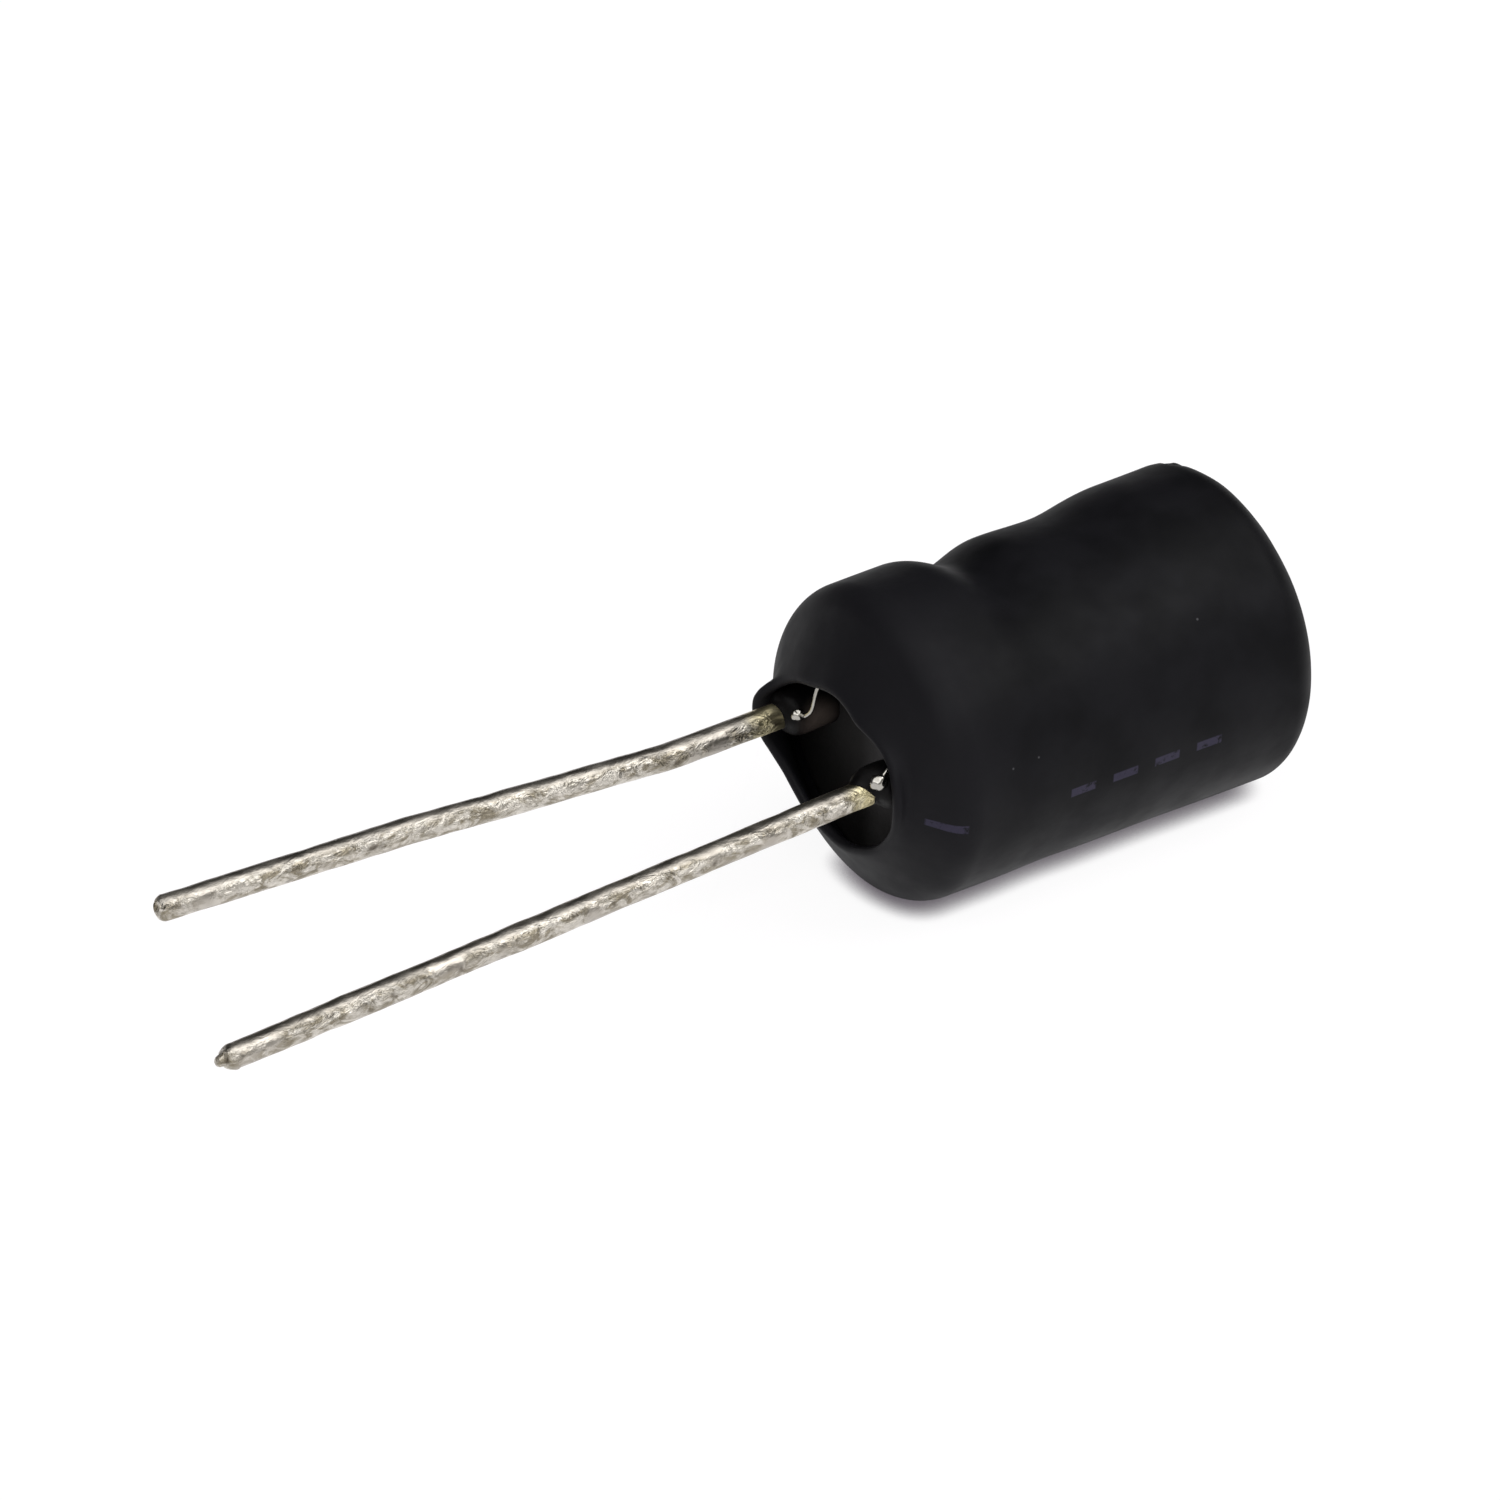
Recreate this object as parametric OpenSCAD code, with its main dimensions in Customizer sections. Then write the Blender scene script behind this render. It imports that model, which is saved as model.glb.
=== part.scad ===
// Radial-leaded drum-core inductor in a heat-shrink sleeve, lying on its side.
// Millimetres. Each piece is drawn about the core's axis, with the base face at z = 0,
// the leads towards -z, the camera-side lead at +y and the upper side at +x.
// lay_down() then turns the whole part onto its side, with the leads towards -X.

/* [Core] */
// Diameter of the drum's two flanges
core_d = 9; // [7:0.1:12]
// Length of the drum over both flanges
core_l = 12; // [10.5:0.1:16]
// Thickness of the flange that holds the leads
base_flange_t = 2.5; // [2.2:0.1:3.2]
// Thickness of the flange at the closed end
head_flange_t = 2.5; // [1.5:0.1:3.2]
// Diameter of the post between the flanges
post_d = 4.6; // [3.6:0.1:5.6]
// Rounding of the flange edges
edge_round = 0.35; // [0.2:0.05:0.5]
// Depth of the blind hole that each lead sits in
lead_seat = 1.8; // [1.2:0.1:2]
// Depth of the wire slots in the rim of the base flange
slot_depth = 0.8; // [0.6:0.05:1]
// Angle of the front wire slot from the top of the base flange
slot_front = 34; // [20:1:60]
// Angle of the back wire slot from the top of the base flange
slot_back = 12; // [5:1:20]

/* [Winding] */
// Diameter of the enamelled wire
wire_d = 0.26; // [0.2:0.01:0.32]
// Outer diameter of the turns next to the base flange
wind_start_d = 8.04; // [7.4:0.02:8.3]
// Outer diameter of the fullest turns
wind_bulge_d = 8.64; // [8.2:0.02:8.8]
// Outer diameter of the turns in the shallow waist
wind_waist_d = 8.46; // [8:0.02:8.7]
// Where the low first turns end, as a share of the winding's length
groove_at = 0.19; // [0.12:0.01:0.26]
// Where the fullest turns lie, as a share of the winding's length
bulge_at = 0.42; // [0.36:0.01:0.5]
// Where the shallow waist lies, as a share of the winding's length
waist_at = 0.7; // [0.62:0.01:0.78]
// How far each wire tail stands out of its slot before it turns inward
tail_stand = 0.25; // [0.2:0.01:0.3]

/* [Leads] */
// Diameter of the tinned leads
lead_d = 0.8; // [0.6:0.05:0.9]
// Spacing of the leads where they leave the core
lead_pitch = 5; // [4.6:0.1:5.2]
// Shift of the pair of leads away from the front
row_side = 0.15; // [0:0.05:0.2]
// Height of the pair of leads above the core's axis
row_lift = 0.25; // [0:0.05:0.3]
// Bend radius of the leads
bend_r = 6; // [3:0.5:12]
// Front lead: straight length from the base face to its bend
front_foot = 2.6; // [2.5:0.1:6]
// Front lead: outward splay
front_splay = 3; // [1:0.5:6]
// Front lead: straight length past its bend
front_run = 22.6; // [10:0.1:30]
// Front lead: length of the pinched-off tip
front_tip = 0.7; // [0.3:0.05:1]
// Diameter at the end of the pinched-off tip
nib_d = 0.3; // [0.2:0.05:0.5]
// Back lead: straight length from the base face to its first bend
back_foot = 5.3; // [2.5:0.1:8]
// Back lead: outward splay at the first bend
back_splay = 7; // [1:0.5:10]
// Back lead: straight length between its bends
back_mid = 8; // [4:0.1:12]
// Back lead: turn back at the second bend
back_relax = 2.5; // [1:0.5:5]
// Back lead: straight length past its second bend
back_run = 8.6; // [6:0.1:14]
// Edge bevel at the back lead's cut tip
tip_bevel = 0.12; // [0.05:0.01:0.2]

/* [Joints] */
// Diameter of the solder beads
solder_d = 0.54; // [0.4:0.02:0.64]
// Distance from a lead's surface to the centre of its solder bead
solder_off = 0.22; // [0.16:0.01:0.26]
// Front joint: angle round the lead, from the top outward
solder_front_turn = 38; // [0:1:80]
// Front joint: distance of the bead from the base face
solder_front_z = 1.95; // [1.8:0.05:2.1]
// Back joint: angle round the lead, from the top towards the other lead
solder_back_turn = 69; // [30:1:90]
// Back joint: distance of the bead from the base face
solder_back_z = 1.3; // [1:0.05:1.5]
// Distance from the base face at which the front tail reaches its collar
front_tail_z = 0.6; // [0.5:0.05:0.8]
// Back tail: distance of its hook from the lead's surface
hook_off = 0.6; // [0.5:0.05:0.8]
// Back tail: distance of its hook from the base face
hook_z = 1.5; // [1.3:0.05:1.7]
// Diameter of the adhesive collars
collar_d = 1.5; // [1.4:0.05:1.6]
// Height of the front adhesive collar
collar_front_h = 2.1; // [1.9:0.05:2.3]
// Height of the back adhesive collar
collar_back_h = 1.65; // [1.5:0.05:1.9]
// Rounding of the collars' tops
collar_round = 0.3; // [0.1:0.02:0.32]

/* [Sleeve] */
// Wall of the shrunk sleeve
sleeve_wall = 0.32; // [0.2:0.02:0.5]
// Inner diameter of the sleeve's mouth at the lead end
mouth_d = 5.56; // [5:0.02:6.4]
// Inner diameter of the sleeve's opening at the closed end
crown_d = 6.63; // [5.6:0.01:7.4]
// Inner bend radius of the sleeve over the flange edges
shoulder_bend = 0.82; // [0.6:0.02:1]
// How far the sleeve turns inward at the lead end
mouth_turn = 58; // [45:1:65]
// How far the sleeve turns inward at the closed end
crown_turn = 65; // [45:1:75]

/* [Fits] */
// Clearance between pieces that are bonded or pressed together
fit_gap = 0.02; // [0.01:0.005:0.03]
// Clearance of the winding from the core
wind_gap = 0.04; // [0.02:0.01:0.08]

/* [Hidden] */
$fn = 64;

core_r = core_d / 2;
lead_r = lead_d / 2;
wire_r = wire_d / 2;
collar_r = collar_d / 2;

// The waist between the flanges, which the winding fills
waist_z0 = base_flange_t + wind_gap;
waist_z1 = core_l - head_flange_t - wind_gap;
waist_l = waist_z1 - waist_z0;
groove_z = waist_z0 + groove_at * waist_l;
bulge_z = waist_z0 + bulge_at * waist_l;
waist_z = waist_z0 + waist_at * waist_l;

// Places of the leads across the core: [up, towards the front]
front_at = [row_lift, lead_pitch / 2 - row_side];
back_at = [row_lift, -lead_pitch / 2 - row_side];

// Overlap that lets a cutting shape pass the face it cuts
cut_over = 1;
// Samples along the sleeve's long run and round each shoulder
run_steps = 56;
bend_steps = 8;
// Extra diameter of the ball at each elbow of a wire tail
elbow_swell = 0.02;

// Smooth step from a to b as t goes from 0 to 1
function ease(a, b, t) = a + (b - a) * (1 - cos(180 * t)) / 2;

// Radius at z along a list of [z, radius] stations joined by smooth steps
function along(stations, z, i = 0) =
    i == len(stations) - 2 || z <= stations[i + 1][0]
        ? ease(
            stations[i][1],
            stations[i + 1][1],
            (z - stations[i][0]) / (stations[i + 1][0] - stations[i][0])
        )
        : along(stations, z, i + 1);

// Outer radius of the winding's turns
wind_stations = [
    [waist_z0, wind_start_d / 2],
    [groove_z, wind_start_d / 2],
    [bulge_z, wind_bulge_d / 2],
    [waist_z, wind_waist_d / 2],
    [core_l - head_flange_t + edge_round, core_r],
];
turns = floor(waist_l / wire_d);
turn_pitch = waist_l / turns;
function turn_z(i) = waist_z0 + (i + 0.5) * turn_pitch;
function turn_slope(i) =
    (along(wind_stations, turn_z(i + 0.5)) - along(wind_stations, turn_z(i - 0.5))) / turn_pitch;
function turn_r(i) = along(wind_stations, turn_z(i)) - wire_r * norm([1, turn_slope(i)]);

// Inner surface of the sleeve, from mouth to crown, as [z, radius] points
shoulder_r = core_r + fit_gap;
bend_c = shoulder_r - shoulder_bend;
sleeve_stations = [
    [edge_round, shoulder_r],
    [base_flange_t - edge_round, shoulder_r],
    [groove_z, wind_start_d / 2 + fit_gap],
    [bulge_z, wind_bulge_d / 2 + fit_gap],
    [waist_z, wind_waist_d / 2 + fit_gap],
    [core_l - head_flange_t + edge_round, shoulder_r],
    [core_l - edge_round, shoulder_r],
];
function bend_point(z, way, turn) = [z + way * shoulder_bend * sin(turn), bend_c + shoulder_bend * cos(turn)];
function lip_point(from, way, turn, r) = [from[0] + way * (from[1] - r) / tan(turn), r];
mouth_bend = bend_point(edge_round, -1, mouth_turn);
crown_bend = bend_point(core_l - edge_round, 1, crown_turn);
run_l = core_l - 2 * edge_round;
sleeve_inner = concat(
    [lip_point(mouth_bend, -1, mouth_turn, mouth_d / 2)],
    [for (k = [bend_steps : -1 : 1]) bend_point(edge_round, -1, mouth_turn * k / bend_steps)],
    [
        for (k = [0 : run_steps])
            let (z = edge_round + run_l * k / run_steps)
            [z, along(sleeve_stations, z)]
    ],
    [for (k = [1 : bend_steps]) bend_point(core_l - edge_round, 1, crown_turn * k / bend_steps)],
    [lip_point(crown_bend, 1, crown_turn, crown_d / 2)]
);

// Outward unit normal of a point list at entry i
function normal_at(points, i) =
    let (step = points[min(i + 1, len(points) - 1)] - points[max(i - 1, 0)])
    [-step[1], step[0]] / norm(step);
sleeve_outer = [
    for (i = [0 : len(sleeve_inner) - 1])
        sleeve_inner[i] + sleeve_wall * normal_at(sleeve_inner, i)
];

// Reach of each lead past the base face, and the part's place on the floor
front_reach = front_foot + bend_r * sin(front_splay) + (front_run + front_tip) * cos(front_splay);
back_turn = back_splay - back_relax;
back_reach = back_foot + bend_r * sin(back_splay) + back_mid * cos(back_splay)
    + bend_r * (sin(back_splay) - sin(back_turn)) + back_run * cos(back_turn);
crown_end = sleeve_outer[len(sleeve_outer) - 1][0];
middle_x = (crown_end - max(front_reach, back_reach)) / 2;
axis_height = shoulder_r + sleeve_wall;

// Wire tails: places in the slots, round the leads and at the joints
tail_r = core_r - slot_depth + wire_r + fit_gap;
tail_start_z = base_flange_t + wire_r;
tail_root_r = wind_start_d / 2 - 2 * wire_d;
function round_at(centre, reach, turn, side) = centre + reach * [cos(turn), side * sin(turn)];
function at_z(across, z) = [across[0], across[1], z];
solder_reach = lead_r + solder_off;
front_joint = round_at(front_at, solder_reach, solder_front_turn, 1);
back_joint = round_at(back_at, solder_reach, solder_back_turn, 1);
back_hook = round_at(back_at, lead_r + hook_off, solder_back_turn, 1);
front_slot = round_at([0, 0], tail_r, slot_front, 1);
back_slot = round_at([0, 0], tail_r, slot_back, -1);
front_tail = [
    at_z(round_at([0, 0], tail_root_r, slot_front, 1), turn_z(1)),
    at_z(front_slot, tail_start_z),
    at_z(front_slot, -tail_stand),
    at_z(front_joint, -front_tail_z),
    at_z(front_joint, -solder_front_z),
];
back_tail = [
    at_z(round_at([0, 0], tail_root_r, slot_back, -1), turn_z(1)),
    at_z(back_slot, tail_start_z),
    at_z(back_slot, -tail_stand),
    at_z(back_hook, -hook_z),
    at_z(back_joint, -solder_back_z),
];

// Turns the upright part onto its side, centred on the floor
module lay_down() {
    translate([-middle_x, 0, axis_height]) rotate([0, 90, 0]) rotate([0, 0, 180]) children();
}

// Round bar between two points
module bar(a, b, d) {
    v = b - a;
    turn = atan2(v[1], v[0]);
    tilt = acos(v[2] / norm(v));
    translate(a) rotate([0, tilt, turn]) cylinder(h = norm(v), d = d);
}

// Wire through a list of points, grown by a margin when it is used to cut
module wire(points, margin = 0) {
    for (i = [0 : len(points) - 2]) {
        bar(points[i], points[i + 1], wire_d + 2 * margin);
    }
    for (i = [1 : len(points) - 2]) {
        translate(points[i]) sphere(d = wire_d + elbow_swell + 2 * margin);
    }
}

// Half outline of a flange with rounded rim edges
module flange_outline(z, t) {
    translate([0, z]) square([core_r - edge_round, t]);
    translate([0, z + edge_round]) square([core_r, t - 2 * edge_round]);
    for (corner = [z + edge_round, z + t - edge_round]) {
        translate([core_r - edge_round, corner]) circle(r = edge_round);
    }
}

// Slot for a wire tail, open at the rim of the base flange
module wire_slot(angle) {
    rotate([0, 0, angle])
        translate([core_r - slot_depth, -wire_r - fit_gap, -cut_over])
            cube([slot_depth + cut_over, wire_d + 2 * fit_gap, base_flange_t + 2 * cut_over]);
}

module drum_core() {
    color([0.22, 0.2, 0.19])
        lay_down()
            difference() {
                rotate_extrude() {
                    flange_outline(0, base_flange_t);
                    flange_outline(core_l - head_flange_t, head_flange_t);
                    square([post_d / 2, core_l]);
                }
                for (place = [front_at, back_at]) {
                    translate(at_z(place, -cut_over))
                        cylinder(h = lead_seat + fit_gap + cut_over, r = lead_r + fit_gap);
                }
                wire_slot(slot_front);
                wire_slot(-slot_back);
            }
}

// Half outline of the winding: the filled waist with one round wire at each outer turn
module winding_outline() {
    inner_r = post_d / 2 + wind_gap;
    polygon(concat(
        [[inner_r, waist_z0], [turn_r(0), waist_z0]],
        [for (i = [0 : turns - 1]) [turn_r(i), turn_z(i)]],
        [[turn_r(turns - 1), waist_z1], [inner_r, waist_z1]]
    ));
    for (i = [0 : turns - 1]) {
        translate([turn_r(i), turn_z(i)]) circle(r = wire_r);
    }
}

module winding() {
    color([0.72, 0.4, 0.2])
        lay_down() {
            rotate_extrude() winding_outline();
            wire(front_tail);
            wire(back_tail);
        }
}

// Lead's round section bent through an angle in the plane of the splay, then its children
module bend(angle) {
    side = sign(angle);
    turn = abs(angle);
    mirror([0, side < 0 ? 1 : 0, 0])
        translate([0, bend_r, 0])
            rotate([90, 0, -90])
                rotate_extrude(angle = turn) translate([bend_r, 0]) circle(r = lead_r);
    translate([0, side * bend_r * (1 - cos(turn)), bend_r * sin(turn)])
        rotate([-angle, 0, 0])
            children();
}

// Straight stretch of lead, then its children
module run(length) {
    cylinder(h = length, r = lead_r);
    translate([0, 0, length]) children();
}

module lead_front() {
    color([0.78, 0.75, 0.7])
        lay_down()
            translate(at_z(front_at, lead_seat))
                mirror([0, 0, 1])
                    run(lead_seat + front_foot)
                        bend(front_splay)
                            run(front_run)
                                cylinder(h = front_tip, d1 = lead_d, d2 = nib_d);
}

module lead_back() {
    color([0.78, 0.75, 0.7])
        lay_down()
            translate(at_z(back_at, lead_seat))
                rotate([180, 0, 0])
                    run(lead_seat + back_foot)
                        bend(back_splay)
                            run(back_mid)
                                bend(-back_relax)
                                    run(back_run - tip_bevel)
                                        cylinder(h = tip_bevel, r1 = lead_r, r2 = lead_r - tip_bevel);
}

// Space that a lead's foot and the clearance round it take up
module lead_bore(place) {
    translate(at_z(place, -front_foot - back_foot)) cylinder(h = front_foot + back_foot, r = lead_r + fit_gap);
}

// Solder bead on the side of a lead, with room for the wire tail in it
module solder_joint(centre, place, tail) {
    color([0.8, 0.79, 0.76])
        lay_down()
            difference() {
                translate(centre) sphere(d = solder_d);
                lead_bore(place);
                wire(tail, fit_gap);
            }
}

module solder_front() {
    solder_joint(at_z(front_joint, -solder_front_z), front_at, front_tail);
}

module solder_back() {
    solder_joint(at_z(back_joint, -solder_back_z), back_at, back_tail);
}

// Collar of adhesive round the foot of a lead, with a window for its joint and room for the wire tail
module adhesive_collar(place, height, joint, joint_z, tail) {
    color([0.05, 0.05, 0.055])
        lay_down()
            difference() {
                translate(at_z(place, 0))
                    mirror([0, 0, 1])
                        rotate_extrude() {
                            square([collar_r, height - collar_round]);
                            square([collar_r - collar_round, height]);
                            translate([collar_r - collar_round, height - collar_round]) circle(r = collar_round);
                        }
                lead_bore(place);
                bar(at_z(place, -joint_z), at_z(2 * joint - place, -joint_z), solder_d + 2 * fit_gap);
                wire(tail, fit_gap);
            }
}

module adhesive_front() {
    adhesive_collar(front_at, collar_front_h, front_joint, solder_front_z, front_tail);
}

module adhesive_back() {
    adhesive_collar(back_at, collar_back_h, back_joint, solder_back_z, back_tail);
}

// Shrunk tube: the outline turned about the axis, notched at its mouth for the collars
module sleeve() {
    last = len(sleeve_inner) - 1;
    outline = concat(
        [for (p = sleeve_inner) [p[1], p[0]]],
        [for (i = [last : -1 : 0]) [sleeve_outer[i][1], sleeve_outer[i][0]]]
    );
    color([0.08, 0.08, 0.085])
        lay_down()
            difference() {
                rotate_extrude() polygon(outline);
                for (place = [front_at, back_at]) {
                    translate(at_z(place, -collar_front_h))
                        cylinder(h = collar_front_h, r = collar_r + fit_gap);
                }
            }
}

drum_core();
winding();
lead_front();
lead_back();
solder_front();
solder_back();
adhesive_front();
adhesive_back();
sleeve();
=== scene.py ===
"""Drum-core inductor lying on its side: organic meshes, materials, soft studio light and the camera."""

import math

import bmesh
import bpy
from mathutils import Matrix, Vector, noise


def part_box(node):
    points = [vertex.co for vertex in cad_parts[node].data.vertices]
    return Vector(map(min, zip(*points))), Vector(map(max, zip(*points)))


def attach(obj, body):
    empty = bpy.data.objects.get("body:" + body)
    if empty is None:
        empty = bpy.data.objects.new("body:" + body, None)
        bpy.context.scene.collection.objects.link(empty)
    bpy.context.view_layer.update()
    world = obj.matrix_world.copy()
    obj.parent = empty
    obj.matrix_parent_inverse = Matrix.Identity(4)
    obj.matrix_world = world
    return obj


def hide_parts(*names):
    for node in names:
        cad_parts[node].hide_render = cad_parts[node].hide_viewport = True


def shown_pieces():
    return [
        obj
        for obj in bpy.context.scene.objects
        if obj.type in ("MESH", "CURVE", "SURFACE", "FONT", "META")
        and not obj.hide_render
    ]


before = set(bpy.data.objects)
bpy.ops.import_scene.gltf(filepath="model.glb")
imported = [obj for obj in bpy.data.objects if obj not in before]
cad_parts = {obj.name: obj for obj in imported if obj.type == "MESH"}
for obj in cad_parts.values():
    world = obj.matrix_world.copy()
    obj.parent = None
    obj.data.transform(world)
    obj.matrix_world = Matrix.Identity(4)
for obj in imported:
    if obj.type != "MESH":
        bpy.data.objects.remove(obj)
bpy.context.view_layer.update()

# Sizes of the part are given in millimetres, and MM turns them into the frame's metres
MM = 0.001
FULL_TURN = 2 * math.pi
UP = Vector((0, 0, 1))
deg = math.radians
scene = bpy.context.scene

# The core gives the axis: x runs from its base face towards the head, "front" is towards -Y.
# BASE_X, AXIS_Y and AXIS_Z are in metres.
core_low, core_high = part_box("drum_core")
BASE_X = core_low[0]
AXIS_Y = (core_low[1] + core_high[1]) / 2
AXIS_Z = (core_low[2] + core_high[2]) / 2
CORE_L = (core_high[0] - core_low[0]) / MM
CORE_R = (core_high[2] - core_low[2]) / 2 / MM

# Where the leads come out of the core, (front, up) of the axis
FRONT_AT = (2.35, 0.25)
BACK_AT = (-2.65, 0.25)

# Helpers


def place(x, front, up):
    """Row-frame point of a place on the part, in millimetres from the middle of the base face."""
    return Vector((BASE_X + x * MM, AXIS_Y - front * MM, AXIS_Z + up * MM))


def lump(p, size, seed):
    """Smooth noise of about -1..1 at a point in millimetres, with features of the given size."""
    q = Vector((p[0] / size + seed, p[1] / size - seed * 0.7, p[2] / size + seed * 1.3))
    return noise.noise(q)


def smooth(t):
    """Smooth step from 0 to 1."""
    t = min(max(t, 0.0), 1.0)
    return t * t * (3 - 2 * t)


def along(stations, x):
    """Radius at x along a list of stations joined by smooth steps."""
    for (x0, r0), (x1, r1) in zip(stations, stations[1:]):
        if x <= x1:
            t = (x - x0) / (x1 - x0)
            return r0 + (r1 - r0) * (1 - math.cos(math.pi * t)) / 2
    return stations[-1][1]


def ring_angles(cols):
    return [FULL_TURN * j / cols for j in range(cols)]


def grid_faces(rows, cols, start=0, closed_rows=False):
    """Quads of a grid of vertex rings."""
    faces = []
    for i in range(rows if closed_rows else rows - 1):
        a = start + i * cols
        b = start + ((i + 1) % rows) * cols
        for j in range(cols):
            k = (j + 1) % cols
            faces.append((a + j, a + k, b + k, b + j))
    return faces


def end_caps(rows, cols, start=0):
    """The faces that close the first and the last ring of a grid."""
    return [tuple(start + row * cols + j for j in range(cols)) for row in (0, rows - 1)]


def mesh_object(name, verts, faces, node, materials, face_mats=None):
    """Adds one smooth piece that dresses a node of the CAD."""
    mesh = bpy.data.meshes.new(name)
    mesh.from_pydata(verts, [], faces)
    mesh.validate()
    # All faces look outwards
    bm = bmesh.new()
    bm.from_mesh(mesh)
    bmesh.ops.recalc_face_normals(bm, faces=bm.faces[:])
    bm.to_mesh(mesh)
    bm.free()
    for material in materials:
        mesh.materials.append(material)
    for polygon in mesh.polygons:
        polygon.use_smooth = True
    if face_mats:
        mesh.polygons.foreach_set("material_index", face_mats)
    obj = bpy.data.objects.new(name, mesh)
    scene.collection.objects.link(obj)
    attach(obj, "root")
    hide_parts(node)


# Materials


class Nodes:
    """Short helper to build a shader tree."""

    def __init__(self, name):
        self.mat = bpy.data.materials.new(name)
        self.mat.use_nodes = True
        self.tree = self.mat.node_tree
        self.tree.nodes.clear()
        self.out = self.new("OutputMaterial")
        self.bsdf = self.new("BsdfPrincipled")
        self.link(self.bsdf.outputs[0], self.out.inputs[0])
        self.object = self.new("TexCoord").outputs["Object"]

    def new(self, kind):
        return self.tree.nodes.new("ShaderNode" + kind)

    def link(self, a, b):
        self.tree.links.new(a, b)

    def put(self, socket, value):
        """Sets a socket to a number or a colour, or links it."""
        if isinstance(value, bpy.types.NodeSocket):
            self.link(value, socket)
        elif isinstance(value, tuple):
            socket.default_value = (*value, 1.0)
        else:
            socket.default_value = value

    def stretched(self, along_x):
        """Coordinates for a texture drawn out along the part's length."""
        n = self.new("Mapping")
        self.link(self.object, n.inputs["Vector"])
        n.inputs["Scale"].default_value = (along_x, 1, 1)
        return n.outputs[0]

    def noise(self, size_mm, detail=2.0, rough=0.5, vector=None, distortion=0.0):
        n = self.new("TexNoise")
        self.link(vector or self.object, n.inputs["Vector"])
        n.inputs["Scale"].default_value = 1 / (size_mm * MM)
        n.inputs["Detail"].default_value = detail
        n.inputs["Roughness"].default_value = rough
        n.inputs["Distortion"].default_value = distortion
        return n.outputs["Fac"]

    def cells(self, size_mm, vector=None):
        n = self.new("TexVoronoi")
        self.link(vector or self.object, n.inputs["Vector"])
        n.inputs["Scale"].default_value = 1 / (size_mm * MM)
        return n.outputs["Distance"], n.outputs["Color"]

    def math(self, op, a, b=0.0, c=0.0):
        n = self.new("Math")
        n.operation = op
        for socket, value in zip(n.inputs, (a, b, c)):
            self.put(socket, value)
        return n.outputs[0]

    def times(self, first, *others):
        for other in others:
            first = self.math("MULTIPLY", first, other)
        return first

    def remap(self, value, low, high, to_low=0.0, to_high=1.0):
        """Smooth step of a value between two limits."""
        n = self.new("MapRange")
        n.interpolation_type = "SMOOTHSTEP"
        self.put(n.inputs["Value"], value)
        n.inputs["From Min"].default_value = low
        n.inputs["From Max"].default_value = high
        n.inputs["To Min"].default_value = to_low
        n.inputs["To Max"].default_value = to_high
        return n.outputs[0]

    def mix(self, fac, a, b):
        """Mixes two colours. The colour sockets share their names with others, so they go by number."""
        n = self.new("Mix")
        n.data_type = "RGBA"
        for socket, value in zip((n.inputs[0], n.inputs[6], n.inputs[7]), (fac, a, b)):
            self.put(socket, value)
        return n.outputs[2]

    def axes(self):
        n = self.new("SeparateXYZ")
        self.link(self.object, n.inputs[0])
        return n.outputs

    def bump(self, height, strength, distance_mm, normal=None):
        n = self.new("Bump")
        n.inputs["Strength"].default_value = strength
        n.inputs["Distance"].default_value = distance_mm * MM
        self.link(height, n.inputs["Height"])
        if normal:
            self.link(normal, n.inputs["Normal"])
        return n.outputs[0]

    def finish(self, color, rough, metal=0.0, normal=None, specular=0.5):
        b = self.bsdf.inputs
        self.put(b["Base Color"], color)
        self.put(b["Roughness"], rough)
        self.put(b["Metallic"], metal)
        self.put(b["Specular IOR Level"], specular)
        if normal:
            self.link(normal, b["Normal"])
        return self.mat


SLEEVE_DARK = (0.0024, 0.0024, 0.0034)
SLEEVE_LIGHT = (0.0069, 0.0068, 0.0087)
# Painted light: the tube is painted paler round the shoulder of the mouth, from one x to another
SLEEVE_LIP_PAINTED_LIGHT = (0.0098, 0.0095, 0.0118)
LIP_PAINTED_LIGHT_FADE = (3.0, -0.6)
LIP_PAINTED_LIGHT_SHARE = 0.85
INK_COLOR = (0.052, 0.047, 0.08)
INK_SHARE = 0.85
# Degrees round from the top, and half the line's width in radians
INK_TURN = 97
INK_HALF = 0.035
INK_START = 3.4
INK_STEP = 1.5
# Where a dash begins and ends in its step
DASH_FROM = (0.04, 0.08)
DASH_TO = (0.66, 0.62)
# One dash on the rolled lip, four along the body
INK_RUNS = ((-1.1, 0.0), (INK_START, INK_START + 4 * INK_STEP))
DUST_COLOR = (0.13, 0.13, 0.14)
DUST_SHARE = 0.5
DUST_CELL = 0.9
DUST_RARE = 0.82


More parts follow.
